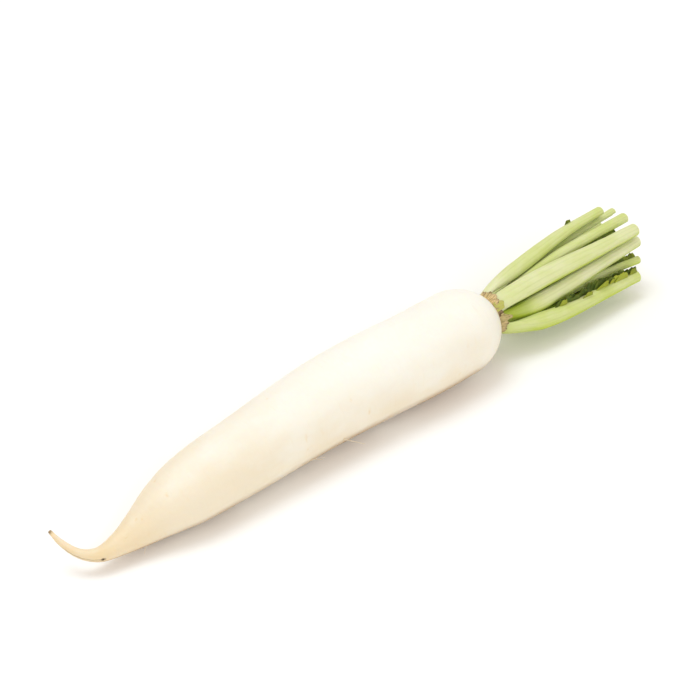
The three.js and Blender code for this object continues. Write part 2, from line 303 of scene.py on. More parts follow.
# The floor, the lamps and the camera, in metres
FLOOR_REACH = 4.0
FLOOR_DROP = 0.0002
OVERHEAD_PLACE = (-0.3, 0.6, 2.5)
FRONT_PLACE = (-0.6, -2.3, 1.6)
LAMP_TARGET = (0.0, 0.0, 0.0)
CAMERA_PLACE = (-0.5841, -0.6529, 0.6803)
CAMERA_TARGET = (0.0722, 0.0634, 0.0)

# The camera's focal length and sensor width, in millimetres
CAMERA_LENS = 85.0
CAMERA_SENSOR = 36.0


colour_property = functools.partial(bpy.props.FloatVectorProperty, subtype="COLOR")
length_property = functools.partial(bpy.props.FloatProperty, unit="LENGTH")
power_property = functools.partial(bpy.props.FloatProperty, unit="POWER")


class DaikonRootSettings(bpy.types.PropertyGroup):
    dent_depth: length_property(
        name="Dent depth", default=0.00035,
        description="Height of the broad uneven swells of the skin",
    )
    ring_depth: length_property(
        name="Ring depth", default=0.00007,
        description="Height of the faint creases that run across the root",
    )
    ivory: colour_property(
        name="Ivory", description="Skin of the upper root", default=(0.87, 0.875, 0.825)
    )
    # Cream is also laid on the lower flank as painted shade, where the root turns away from the
    # light
    cream: colour_property(
        name="Cream", description="Warmer patches of the skin", default=(0.80, 0.715, 0.56)
    )
    tan: colour_property(
        name="Tan", description="Skin of the thin tail", default=(0.77, 0.62, 0.385)
    )
    # Belly is painted shade: the dark brown on the underside stands for the shadow where the root
    # meets the floor
    belly: colour_property(
        name="Belly", description="Earth-stained skin on the underside", default=(0.50, 0.35, 0.20)
    )
    bark: colour_property(
        name="Bark", default=(0.22, 0.14, 0.07),
        description="Deep scars and the broken tip of the tail",
    )
    pit: colour_property(
        name="Pit", default=(0.03, 0.02, 0.012),
        description="Dark pit at the end of the split under the tail",
    )


class DaikonCrownSettings(bpy.types.PropertyGroup):
    husk_thickness: length_property(
        name="Husk thickness", description="Thickness of the dried leaf bases", default=0.0006
    )
    straw: colour_property(
        name="Straw", description="Dry sunlit parts of the husks", default=(0.66, 0.52, 0.29)
    )
    peach: colour_property(
        name="Peach", default=(0.82, 0.61, 0.27),
        description="Fresh orange skin at the feet of the husks",
    )
    # Cork is the brown of the crown and the husk fibres, and on the darkest husk also the painted
    # shade of the crevice
    cork: colour_property(
        name="Cork", description="Brown corky parts between the husks", default=(0.15, 0.09, 0.045)
    )
    moss: colour_property(
        name="Moss", description="Husks that are still a little green", default=(0.50, 0.50, 0.12)
    )


class DaikonStalkSettings(bpy.types.PropertyGroup):
    rib_height: length_property(
        name="Rib height", default=0.00014,
        description="Height of the fine ribs that run along a stalk",
    )
    # Pale is the stalk's colour near the crown, and it stays on the upper side as painted light
    # from above
    pale: colour_property(
        name="Pale", default=(0.70, 0.715, 0.43),
        description="Stalk near the crown and along its upper side",
    )
    green: colour_property(
        name="Green", description="Main colour of the stalks", default=(0.47, 0.575, 0.05)
    )
    # Deep green also carries painted shade: the sides that face into the bunch and the hidden
    # stalks in the gaps are darkened with it
    deep: colour_property(
        name="Deep green", default=(0.20, 0.30, 0.02),
        description="Furrows between the ribs and the sides that touch other stalks",
    )
    pith: colour_property(
        name="Pith", description="Middle of the cut ends", default=(0.76, 0.78, 0.55)
    )


class DaikonScrapSettings(bpy.types.PropertyGroup):
    thickness: length_property(
        name="Leaf thickness", description="Thickness of the scraps of leaf", default=0.0005
    )
    # The blade's very dark green is partly the leaf's own colour and partly painted shade for the
    # dark gap between the stalks
    blade: colour_property(
        name="Blade", description="Dark green of the leaf", default=(0.065, 0.10, 0.014)
    )
    torn: colour_property(
        name="Torn", description="Lighter green where the leaf tore", default=(0.35, 0.39, 0.04)
    )


class DaikonStageSettings(bpy.types.PropertyGroup):
    floor: colour_property(
        name="Floor", description="Colour of the floor", default=(0.96, 0.96, 0.96)
    )
    sky: colour_property(
        name="Sky", description="Colour of the light from all round", default=(1.0, 0.92, 0.835)
    )
    sky_strength: bpy.props.FloatProperty(
        name="Sky strength", description="Strength of the light from all round", default=0.86
    )
    lamp: colour_property(
        name="Lamps", description="Colour of the two soft lamps", default=(0.80, 0.91, 1.0)
    )
    lamp_size: length_property(
        name="Lamp size", description="Side of the square lamps", default=1.3
    )
    overhead_power: power_property(
        name="Overhead power", default=24.0,
        description="Power of the lamp overhead, behind the radish",
    )
    front_power: power_property(
        name="Front power", description="Power of the lamp in front of the radish", default=16.0
    )


def smoothstep(value, low, high):
    share = min(max((value - low) / (high - low), 0.0), 1.0)
    return share * share * (3 - 2 * share)


def mix(first, second, share):
    return first + (second - first) * share


def turn_between(start, end):
    """The shorter way round from one angle to another."""
    return (end - start + math.pi) % math.tau - math.pi


class Line:
    """A smooth line through the given points, read by distance along it or by x."""

    SAMPLES = 600
    HALVINGS = 24

    def __init__(self, points):
        self.points = [Vector(point) for point in points]
        places = [self.at(i / self.SAMPLES) for i in range(self.SAMPLES + 1)]
        steps = ((b - a).length for a, b in zip(places, places[1:]))
        self.reached = [0.0, *itertools.accumulate(steps)]

    def at(self, share):
        """The point at a share of the spans between the given points."""
        place = min(max(share, 0.0), 1.0) * (len(self.points) - 1)
        i = min(int(place), len(self.points) - 2)
        u = place - i
        start, end = self.points[i], self.points[i + 1]
        before = self.points[i - 1] if i > 0 else 2 * start - end
        after = self.points[i + 2] if i + 2 < len(self.points) else 2 * end - start
        leaving = (end - before) / 2
        arriving = (after - start) / 2
        cubic = 2 * start - 2 * end + leaving + arriving
        square = -3 * start + 3 * end - 2 * leaving - arriving
        return ((cubic * u + square) * u + leaving) * u + start

    def share_at(self, distance):
        distance = min(max(distance, 0.0), self.reached[-1])
        i = min(bisect.bisect_right(self.reached, distance), self.SAMPLES) - 1
        step = self.reached[i + 1] - self.reached[i]
        return (i + (distance - self.reached[i]) / step) / self.SAMPLES

    def at_x(self, x):
        """The point whose first coordinate is x, found by halving."""
        low, high = 0.0, 1.0
        for _ in range(self.HALVINGS):
            middle = (low + high) / 2
            if self.at(middle)[0] < x:
                low = middle
            else:
                high = middle
        return self.at(high)


root_line = Line(ROOT_LINE)
radius_line = Line(ROOT_RADII)


@functools.cache
def root_frame(distance):
    """Middle of the root at a distance, with its directions along, across and above."""
    share = root_line.share_at(distance)
    along = (root_line.at(share + TINY) - root_line.at(share - TINY)).normalized()
    across = Vector((0, 0, 1)).cross(along).normalized()
    above = along.cross(across)
    return root_line.at(share), along, across, above


def shoulder_outline():
    """The shoulder from the full root to the lip, as distance and radius."""
    start, full = ROOT_RADII[-1]
    lip_angle = math.acos(LIP_RADIUS / full)
    for i in range(1, SHOULDER_RINGS + 1):
        angle = lip_angle * i / SHOULDER_RINGS
        yield start + SHOULDER_LENGTH * math.sin(angle), full * math.cos(angle)


# The distance of the lip round the crown, and the root's frame there
LIP = list(shoulder_outline())[-1][0]
CROWN_FRAME = root_frame(round(LIP, 3))


def draw_line(bm, points):
    """Joins the points by edges in a mesh."""
    corners = [bm.verts.new(point) for point in points]
    for first, second in zip(corners, corners[1:]):
        bm.edges.new((first, second))


def turned(points, sides):
    """A closed shape turned round the x axis from (x, radius) points."""
    bm = bmesh.new()
    draw_line(bm, [(x, 0, radius) for x, radius in points])
    bmesh.ops.spin(
        bm, geom=bm.verts[:] + bm.edges[:], cent=(0, 0, 0), axis=(1, 0, 0),
        angle=math.tau, steps=sides, use_merge=True,
    )
    bmesh.ops.remove_doubles(bm, verts=bm.verts, dist=TINY)
    bmesh.ops.recalc_face_normals(bm, faces=bm.faces)
    return bm


def tube(sides, rings, cap_loops=()):
    """A closed tube of radius 1 from z = 0 to 1, with loops on its far end."""
    bm = bmesh.new()
    bmesh.ops.create_cone(bm, cap_ends=True, segments=sides, radius1=1.0, radius2=1.0, depth=1.0)
    bmesh.ops.translate(bm, verts=bm.verts, vec=(0, 0, 0.5))
    long_edges = [e for e in bm.edges if abs(e.verts[0].co.z - e.verts[1].co.z) > 0.5]
    bmesh.ops.subdivide_edges(bm, edges=long_edges, cuts=rings - 1)
    bm.normal_update()
    far_end = [face for face in bm.faces if face.normal.z > 0.5]
    for width in cap_loops:
        bmesh.ops.inset_region(bm, faces=far_end, thickness=width)
    ends = [face for face in bm.faces if len(face.verts) > 4]
    bmesh.ops.poke(bm, faces=ends)
    return bm


def plate(columns, rows):
    """A thin closed plate 1 wide, 1 high and 1 thick, to be given its shape."""
    bm = bmesh.new()
    bmesh.ops.create_grid(bm, x_segments=columns, y_segments=rows, size=0.5)
    bmesh.ops.solidify(bm, geom=bm.faces[:], thickness=1.0)
    return bm


def float_layers(bm, *names):
    """New attributes of a mesh's vertices, one number each."""
    return [bm.verts.layers.float.new(name) for name in names]


def finished_mesh(name, bm):
    mesh = bpy.data.meshes.new(name)
    bm.to_mesh(mesh)
    bm.free()
    return mesh


def join(bm, part):
    """Moves a mesh into another and frees it."""
    bmesh.ops.recalc_face_normals(part, faces=part.faces)
    carried = finished_mesh("carried", part)
    bm.from_mesh(carried)
    bpy.data.meshes.remove(carried)


def new_object(name, data):
    thing = bpy.data.objects.new(name, data)
    bpy.context.scene.collection.objects.link(thing)
    return thing


def add_piece(name, bm, materials, nodes=()):
    """Makes a finished piece of a mesh in millimetres and fixes it to the radish."""
    bmesh.ops.scale(bm, vec=(MM, MM, MM), verts=bm.verts)
    mesh = finished_mesh(name, bm)
    mesh.shade_smooth()
    for material in materials:
        mesh.materials.append(material)
    piece = new_object(name, mesh)
    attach(piece, BODY)
    if nodes:
        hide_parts(*nodes)


class Finish:
    """A material in the making, with short calls for the nodes that finishes share."""

    def __init__(self, name, **surface):
        self.material = bpy.data.materials.new(name)
        self.material.use_nodes = True
        self.tree = self.material.node_tree
        self.shader = self.tree.nodes["Principled BSDF"]
        for socket, value in surface.items():
            self.shader.inputs[socket.replace("_", " ")].default_value = value

    def node(self, kind, inputs, **settings):
        """A node with its settings, whose inputs are values or other nodes' outputs."""
        node = self.tree.nodes.new("ShaderNode" + kind)
        for key, value in settings.items():
            setattr(node, key, value)
        for socket, value in inputs.items():
            if isinstance(value, bpy.types.NodeSocket):
                self.tree.links.new(value, node.inputs[socket])
            else:
                node.inputs[socket].default_value = value
        return node

    def place(self):
        return self.node("TexCoord", {}).outputs["Object"]

    def value(self, name):
        return self.node("Attribute", {}, attribute_name=name).outputs["Fac"]

    def values(self, *names):
        return [self.value(name) for name in names]

    def vector(self, name):
        return self.node("Attribute", {}, attribute_name=name).outputs["Vector"]

    def stretched(self, vector, scale):
        return self.node("Mapping", {"Vector": vector, "Scale": scale}).outputs[0]

    def noise(self, vector, scale, detail=3.0, roughness=0.55):
        inputs = {"Vector": vector, "Scale": scale, "Detail": detail, "Roughness": roughness}
        return self.node("TexNoise", inputs).outputs["Fac"]

    def dots(self, vector, scale):
        return self.node("TexVoronoi", {"Vector": vector, "Scale": scale}).outputs["Distance"]

    def span(self, value, low, high, start=0.0, end=1.0):
        """A value's smooth way from start to end, between low and high."""
        inputs = {"Value": value, "From Min": low, "From Max": high, "To Min": start, "To Max": end}
        return self.node("MapRange", inputs, interpolation_type="SMOOTHSTEP").outputs["Result"]

    def times(self, first, second):
        return self.node("Math", {0: first, 1: second}, operation="MULTIPLY").outputs[0]

    def plus(self, first, second):
        return self.node("Math", {0: first, 1: second}, operation="ADD").outputs[0]

    def blend(self, factor, first, second):
        """A colour between two, each a colour or another node's output."""
        first, second = (
            c if isinstance(c, bpy.types.NodeSocket) else (*c, 1.0) for c in (first, second)
        )
        return self.node("Mix", {0: factor, 6: first, 7: second}, data_type="RGBA").outputs[2]

    def coats(self, colour, *coats):
        """A colour with others laid over it, each with the factor that it covers by."""
        for factor, coat in coats:
            colour = self.blend(factor, colour, coat)
        return colour

    def wear(self, colour, roughness=None, height=None, depth=None):
        """Joins the colour, the roughness and the relief to the shader."""
        self.tree.links.new(colour, self.shader.inputs["Base Color"])
        if roughness:
            self.tree.links.new(roughness, self.shader.inputs["Roughness"])
        if height:
            bump = self.node("Bump", {"Height": height, "Distance": depth, "Strength": 1.0})
            self.tree.links.new(bump.outputs[0], self.shader.inputs["Normal"])
        return self.material


def skin_finish(settings):
    """Ivory skin that turns cream in patches, tan along the tail, with painted shade that turns the
    lower flank cream and the underside brown.
    """
    skin = Finish(
        "radish_skin",
        Subsurface_Weight=0.3,
        Subsurface_Radius=(1.0, 0.75, 0.45),
        Subsurface_Scale=0.003,
        Specular_IOR_Level=0.35,
    )
    straight = skin.vector("straight")
    grown, flank_shade, under, scar = skin.values("grown", "flank_shade", "under", "scar")
    patches = skin.noise(skin.stretched(straight, (0.55, 1, 1)), 38, 4)
    streaks = skin.noise(skin.stretched(straight, (7, 1, 1)), 55, 3)
    mottle = skin.noise(straight, 260, 3)

    # Cream patches near the tail, and painted shade that warms the lower flank
    warm = skin.plus(skin.span(grown, 0.26, 0.05, 0.16, 0.85), skin.times(flank_shade, 0.7))
    warm = skin.times(warm, skin.span(patches, 0.25, 0.72, 0.55, 1.2))
    thin = skin.times(skin.span(grown, 0.10, 0.02), skin.span(patches, 0.32, 0.64, 0.3, 1.1))
    # Painted shade on the underside where it meets the floor, uneven in patches
    painted_underside_shade = skin.times(under, skin.span(patches, 0.3, 0.66, 0.3, 0.95))
    faint = skin.times(skin.span(streaks, 0.60, 0.78), 0.12)
    marked = skin.times(skin.span(scar, 0.36, 0.8), skin.span(mottle, 0.3, 0.6, 0.6, 1))
    colour = skin.coats(
        settings.ivory,
        (warm, settings.cream),
        (thin, settings.tan),
        (painted_underside_shade, settings.belly),
        (faint, settings.tan),
        (skin.span(scar, 0.0, 0.36, 0, 0.9), settings.tan),
        (marked, settings.bark),
        (skin.span(scar, 0.8, 0.95), settings.pit),
    )
    height = skin.plus(skin.times(streaks, 0.5), skin.times(mottle, 0.25))
    return skin.wear(colour, skin.span(patches, 0.3, 0.8, 0.4, 0.52), height, 0.0005)


def rootlet_finish(settings):
    """Cream and tan skin of the fine side roots."""
    skin = Finish("rootlet_skin", Roughness=0.7)
    fibres = skin.noise(skin.place(), 900)
    return skin.wear(skin.blend(skin.span(fibres, 0.35, 0.65), settings.cream, settings.tan))


def husk_finish(settings):
    """Dry straw-coloured husks, orange at their feet, with brown fibres and torn edges."""
    dry = Finish("dry_husk", Specular_IOR_Level=0.25)
    rise, green, orange, dark = dry.values(*HUSK_ATTRIBUTES)
    fibres = dry.noise(dry.vector("fibre"), 900, 4, 0.65)
    clouds = dry.noise(dry.place(), 420, 4)
    fresh = dry.times(orange, dry.span(rise, 1.0, 0.25, 0.35, 1.0))
    brown = dry.plus(dry.span(fibres, 0.44, 0.62, 0, 0.95), dry.span(rise, 0.7, 1.05, 0, 0.5))
    brown = dry.times(brown, dry.span(clouds, 0.35, 0.65, 0.3, 1))
    mossy = dry.times(green, dry.span(clouds, 0.3, 0.6, 0.65, 1))
    # Dried brown husks, and on the darkest husk the painted shade of the crevice
    dried = dry.times(dark, dry.span(clouds, 0.3, 0.6, 0.7, 1))
    colour = dry.coats(
        settings.straw,
        (fresh, settings.peach),
        (brown, settings.cork),
        (mossy, settings.moss),
        (dried, settings.cork),
    )
    return dry.wear(colour, dry.span(fibres, 0.3, 0.7, 0.65, 0.9), fibres, 0.0006)


def cork_finish(settings):
    """Brown flecked cork, darker in its hollows."""
    cork = Finish("crown_cork", Specular_IOR_Level=0.2)
    place = cork.place()
    clouds = cork.noise(place, 360, 5, 0.6)
    grain = cork.noise(place, 1700, 4, 0.7)
    dark = cork.times(cork.span(clouds, 0.35, 0.65), 0.8)
    flecks = cork.span(cork.dots(place, 900), 0.35, 0.1)
    flecks = cork.times(flecks, cork.span(grain, 0.4, 0.7))
    colour = cork.coats(settings.straw, (dark, settings.cork), (flecks, CORK_FLECK))
    height = cork.plus(grain, cork.times(clouds, 2.0))
    return cork.wear(colour, cork.span(grain, 0.3, 0.7, 0.75, 0.95), height, 0.0006)


def stalk_finish(settings):
    """Light green stalk, paler near the crown, with painted light that keeps the top pale and
    painted shade that turns the underside greener and deep green where stalks touch.
    """
    skin = Finish(
        "stalk_skin",
        Subsurface_Weight=0.15,
        Subsurface_Radius=(0.6, 1.0, 0.25),
        Subsurface_Scale=0.0015,
        Specular_IOR_Level=0.4,
    )
    along, rib, tint, underside_shade, inner = skin.values("along", "rib", "tint", "underside_shade", "inner")
    lane = skin.vector("lane")
    streaks = skin.noise(skin.stretched(lane, (0.05, 1, 1)), 900, 4)
    clouds = skin.noise(skin.stretched(lane, (0.4, 1, 1)), 120, 3)

    grown = skin.span(along, 0.004, 0.06, 0.25, 1.0)
    # Painted shade and light: the underside turns greener while the top stays pale
    painted_underside_green = skin.times(skin.times(underside_shade, grown), 0.9)
    depth = skin.plus(skin.times(tint, 0.8), painted_underside_green)
    depth = skin.plus(depth, skin.span(clouds, 0.3, 0.7, -0.12, 0.16))
    furrow = skin.times(skin.span(rib, 0.4, 0.0), skin.span(streaks, 0.35, 0.7, 0.1, 0.6))
    # Painted shade: deep green on the sides that face into the bunch and on the deepest-tinted
    # hidden stalks
    shade = skin.plus(skin.times(inner, 0.2), skin.span(tint, 0.6, 1.0, 0, 0.5))
    colour = skin.coats(
        settings.pale,
        (depth, settings.green),
        (skin.times(furrow, 0.35), settings.deep),
        (skin.times(shade, grown), settings.deep),
        (skin.times(skin.span(streaks, 0.55, 0.75), 0.22), settings.pale),
    )
    return skin.wear(colour, skin.span(clouds, 0.3, 0.7, 0.36, 0.5), streaks, 0.00025)


def cut_finish(settings):
    """Cut end of a stalk: pale pith with a ring of greener strands and a dried rim."""
    cut = Finish(
        "cut_stalk", Subsurface_Weight=0.15, Subsurface_Scale=0.002, Specular_IOR_Level=0.4
    )
    place = cut.place()
    core = cut.value("core")
    clouds = cut.noise(place, 700, 4)
    ring = cut.times(cut.span(core, 0.45, 0.75), cut.span(core, 1.0, 0.8))
    strands = cut.times(ring, cut.span(cut.dots(place, 900), 0.45, 0.2))
    colour = cut.coats(
        settings.pith,
        (cut.span(clouds, 0.35, 0.75, 0, 0.4), settings.green),
        (cut.times(strands, 0.8), settings.deep),
        (cut.span(core, 0.86, 1.0, 0, 0.6), settings.green),
    )
    return cut.wear(colour, cut.span(clouds, 0.3, 0.7, 0.5, 0.7), clouds, 0.0003)


def scrap_finish(settings):
    """Dark green leaf, darkened further as painted shade, with lighter yellow-green where it is
    torn or young.
    """
    leaf = Finish(
        "leaf_scrap", Subsurface_Weight=0.1, Subsurface_Scale=0.001, Specular_IOR_Level=0.15
    )
    place = leaf.place()
    light, rise = leaf.values("light", "rise")
    clouds = leaf.noise(place, 240, 4)
    veins = leaf.noise(leaf.stretched(place, (1, 0.3, 0.3)), 1500, 3)
    young = leaf.plus(light, leaf.span(clouds, 0.3, 0.7, -0.12, 0.14))
    young = leaf.plus(young, leaf.span(rise, 0.55, 1.0, 0, 0.06))
    veined = leaf.span(veins, 0.6, 0.75, 0, 0.18)
    colour = leaf.coats(settings.blade, (young, settings.torn), (veined, settings.torn))
    return leaf.wear(colour, leaf.span(clouds, 0.3, 0.7, 0.45, 0.65), veins, 0.0003)


def all_scars():
    """The scars in view and the others, scattered along the two rows of side roots."""
    chance = random.Random(SCAR_SEED)
    scars = list(SEEN_SCARS)
    for i in range(HIDDEN_SCARS):
        distance = HIDDEN_FROM + HIDDEN_REACH * chance.random() ** 1.3
        turn = SCAR_ROWS[i % 2] + chance.gauss(0, SCAR_SPREAD)
        length, depth = chance.uniform(*HIDDEN_LENGTHS), chance.uniform(*HIDDEN_DEPTHS)
        scars.append((distance, turn, length, depth))
    return sorted(scars)


def scar_share(scar, distance, radius, turn):
    """How deep in a scar a place on the skin lies, from 0 to 1."""
    scar_distance, scar_turn, length, _ = scar
    aside = turn_between(math.radians(scar_turn), turn)
    across = aside * radius / (length / 2)
    thick = 0.9 + 0.25 * math.sin(3.0 * across + scar_distance)
    along = (distance - scar_distance - 0.4 * math.sin(2.0 * across)) / thick
    return math.exp(-along * along) * max(0.0, 1 - across * across)


def split_share(distance, radius, turn):
    """How deep in the split under the tail a place on the skin lies, from 0 to 1."""
    aside = turn_between(math.radians(SPLIT_TURN), turn)
    across = aside * radius + 0.12 * math.sin(distance * 1.3)
    opening = smoothstep(distance, SPLIT_START, SPLIT_START + 10)
    inside = opening * smoothstep(distance, SPLIT_END + 0.6, SPLIT_END)
    line = 0.72 * math.exp(-((across / SPLIT_WIDTH) ** 2)) * inside
    pit = math.exp(-((across / SPLIT_PIT) ** 2) - ((distance - SPLIT_END) / SPLIT_PIT) ** 2)
    return max(line, min(1.0, 1.5 * pit))


def skin_relief(distance, radius, turn, settings):
    """How far the skin stands out from the smooth root."""
    upper = (1 + math.cos(turn)) / 2
    fade = smoothstep(distance, 20, LUMP_FADE) * smoothstep(radius, LIP_RADIUS, LIP_RADIUS + 8)
    lump = LUMP_HEIGHT * upper * fade * math.sin(distance / LUMP_LENGTH + 2.1 * math.sin(turn))
    y, z = radius * math.sin(turn), radius * math.cos(turn)
    dent = settings.dent_depth / MM * noise.noise((distance / DENT_LENGTH, y / 16, z / 16))
    crease = noise.noise((distance / RING_LENGTH, y / RING_REACH, z / RING_REACH + 7))
    rings = settings.ring_depth / MM * crease * smoothstep(distance, 5, 40)
    knobs = 0.12 * noise.noise((distance / 3, y / 2, z / 2)) * smoothstep(distance, 60, 20)
    return lump + dent * (0.25 + 0.75 * upper) * fade + rings + knobs


def root_outline():
    """Half outline of the straight root, as distance and radius."""
    first, last = ROOT_RADII[0][0], ROOT_RADII[-1][0]
    rings = round((last - first) / RING_SPACING)
    body = [first + (last - first) * i / rings for i in range(rings + 1)]
    yield from TAIL_BREAK
    yield from ((distance, radius_line.at_x(distance)[1]) for distance in body)
    yield from shoulder_outline()
    yield from ((LIP + rise, radius) for rise, radius in LIP_ROLL)
    yield from ((LIP - RECESS_DEPTH, radius) for radius in (RECESS_RADIUS, 8.0, 0.0))


def taproot_mesh(settings):
    """The root, turned straight, then given its relief and bent along its middle line."""
    bm = turned(root_outline(), ROOT_SIDES)
    straight = bm.verts.layers.float_vector.new("straight")
    grown, flank_shade, under, mark = float_layers(bm, "grown", "flank_shade", "under", "scar")
    scars = all_scars()
    starts = [scar[0] for scar in scars]
    for vertex in bm.verts:
        distance = vertex.co.x
        radius = math.hypot(vertex.co.y, vertex.co.z)
        turn = math.atan2(vertex.co.y, vertex.co.z)
        vertex[straight] = vertex.co * MM
        vertex[grown] = distance * MM
        # Painted shade: how far a place has turned down the flank, from 0 on top
        vertex[flank_shade] = min(1.0, 0.85 * (1 - math.cos(turn)))
        # Painted shade: how far a place faces the floor, where the underside turns brown
        vertex[under] = smoothstep(-math.cos(turn), 0.28, 0.64)
        first = bisect.bisect_left(starts, distance - SCAR_REACH)
        beyond = bisect.bisect_right(starts, distance + SCAR_REACH)
        dip, shown = 0.0, 0.0
        for scar in scars[first:beyond]:
            depth = scar[3]
            share = scar_share(scar, distance, radius, turn)
            dip = max(dip, depth * share)
            shown = max(shown, share * min(depth * SCAR_SHADE, SCAR_DARKEST))
        if distance < SPLIT_END + SCAR_REACH:
            split = split_share(distance, radius, turn)
            dip = max(dip, SPLIT_DEPTH * split)
            shown = max(shown, split)
        tip = TIP_SHADE * smoothstep(distance, 4.5, 0.8)
        stain = LIP_SHADE * smoothstep(radius, 23.0, 17.5)
        stain *= smoothstep(distance, LIP - 12, LIP - 2)
        vertex[mark] = max(shown, tip, stain)
        outer = radius
        if radius > 0 and distance < LIP - 0.5:
            outer += skin_relief(distance, radius, turn, settings) - dip
        centre, _, across, above = root_frame(round(distance, 3))
        vertex.co = centre + outer * (across * math.sin(turn) + above * math.cos(turn))
        vertex.co.z = max(vertex.co.z, 0.0)
    return bm


def rootlet(bm, distance, turn, length, lean, droop):
    """Adds one fine side root that leans along the skin and droops."""
    turn, lean = math.radians(turn), math.radians(lean)
    centre, along, across, above = root_frame(distance)
    outward = across * math.sin(turn) + above * math.cos(turn)
    sideways = along.cross(outward)
    start = centre + outward * (radius_line.at_x(distance)[1] - ROOTLET_SINK)
    hair = tube(*ROOTLET_GRID)
    for vertex in hair.verts:
        share = vertex.co.z
        thick = mix(*ROOTLET_RADII, share)
        way = length * share
        middle = start + outward * way * math.cos(lean) + along * way * math.sin(lean)
        middle.z -= droop * share * share
        middle += sideways * 0.5 * math.sin(4 * share + distance)
        aside = sideways * vertex.co.x + outward.cross(sideways) * vertex.co.y
        vertex.co = middle + thick * aside
        vertex.co.z = max(vertex.co.z, 0.1)
    join(bm, hair)


class DAIKON_OT_taproot(bpy.types.Operator):
    """Grow the white taproot with its curled tail and the fine side roots on it"""

    bl_idname = "daikon.taproot"
    bl_label = "Taproot"

    def execute(self, context):
        settings = context.scene.daikon_root
        finish = skin_finish(settings)
        add_piece("taproot", taproot_mesh(settings), [finish], ["root"])
        hairs = bmesh.new()
        for entry in ROOTLETS:
            rootlet(hairs, *entry)
        add_piece("rootlets", hairs, [rootlet_finish(settings)])
        return {"FINISHED"}


def crown_place(x, radius, angle):
    """A place in the crown's frame: out along its axis, and round it from +y towards +z."""
    centre, along, across, above = CROWN_FRAME
    return centre + along * x + radius * (across * math.cos(angle) + above * math.sin(angle))


def crown_disc():
    """The low disc between the husks, with a rough top and a crumbling edge."""
    bottom = FIT_GAP - RECESS_DEPTH
    edge_top = CROWN_TOP - CROWN_BEVEL
    edge = [(bottom + (edge_top - bottom) * i / 8, CROWN_RADIUS) for i in range(9)]
    bevel = [(CROWN_TOP - 0.35, CROWN_RADIUS - 0.2), (CROWN_TOP - 0.1, CROWN_RADIUS - 0.5)]
    top = [(CROWN_TOP, (CROWN_RADIUS - CROWN_BEVEL) * (1 - i / 14)) for i in range(15)]
    bm = turned([(bottom, 0.0), (bottom, 8.0), *edge, *bevel, *top], CROWN_SIDES)
    for vertex in bm.verts:
        x, y, z = vertex.co
        radius = math.hypot(y, z)
        angle = math.atan2(z, y)
        rough = noise.noise((x / 1.4, y / 1.8, z / 1.8)) + 0.5 * noise.noise((x, y, z))
        if x > bottom:
            radius *= 1 + 0.012 * rough
            x += 0.16 * rough * smoothstep(x, 1.0, CROWN_TOP)
        vertex.co = crown_place(x, radius, angle)
    return bm


def husk(place, width, height, tip, green, orange, dark, settings, grid=HUSK_GRID):
    """One dried leaf base: a thin plate with a ragged tip, bent round the crown's edge."""
    bm = plate(*grid)
    rise_layer, *colour_layers = float_layers(bm, *HUSK_ATTRIBUTES)
    fibre_layer = bm.verts.layers.float_vector.new("fibre")
    lean = math.radians(HUSK_LEAN)
    base = CROWN_RADIUS - HUSK_INSET
    thick = settings.husk_thickness / MM
    for vertex in bm.verts:
        side, rise, depth = vertex.co.x * 2, vertex.co.y + 0.5, abs(vertex.co.z)
        torn = 1 + 0.16 * noise.noise((side * 1.4, place, 0))
        torn += 0.03 * noise.noise((side * 5, place, 3))
        narrow = mix(1.0, tip, smoothstep(rise, 0.3, 1.0))
        tall = (height + HUSK_SINK) * torn * (1 - 0.25 * side * side) * rise - HUSK_SINK
        wrinkle = 0.35 * noise.noise((side * 2.2, tall / 2.5, place))
        ridge = 0.15 * math.cos(7 * side + place) * smoothstep(rise, 0.1, 0.5)
        out = max(tall, 0) * math.tan(lean) * 0.8 + wrinkle + ridge
        out -= 0.4 * side * side * smoothstep(rise, 0.2, 1) + depth * thick * (1 - 0.55 * rise)
        turn = math.radians(place) + side * narrow * width / 2 / base
        vertex[rise_layer] = rise
        for layer, share in zip(colour_layers, (green, orange, dark)):
            vertex[layer] = share
        vertex[fibre_layer] = Vector((side * narrow * width, 0.12 * tall, place)) * MM
        vertex.co = crown_place(CROWN_TOP + tall * math.cos(lean), base + out, turn)
    return bm


def husks_mesh(settings):
    """All dried leaf bases, with a fringe of small torn ones at their feet."""
    bm = bmesh.new()
    float_layers(bm, *HUSK_ATTRIBUTES)
    bm.verts.layers.float_vector.new("fibre")
    for entry in HUSKS:
        join(bm, husk(*entry, settings))
    chance = random.Random(FRINGE_SEED)
    for i in range(FRINGE_COUNT):
        place = 360 * (i + chance.uniform(-0.4, 0.4)) / FRINGE_COUNT
        values = [chance.uniform(*span) for span in FRINGE_SPANS]
        join(bm, husk(place, *values, settings, FRINGE_GRID))
    return bm


class DAIKON_OT_crown(bpy.types.Operator):
    """Grow the corky crown and the dried leaf bases round its edge"""

    bl_idname = "daikon.crown"
    bl_label = "Crown"

    def execute(self, context):
        settings = context.scene.daikon_crown
        cork, husks = cork_finish(settings), husk_finish(settings)
        add_piece("crown_disc", crown_disc(), [cork], ["crown"])
        add_piece("crown_husks", husks_mesh(settings), [husks], ["crown"])
        return {"FINISHED"}


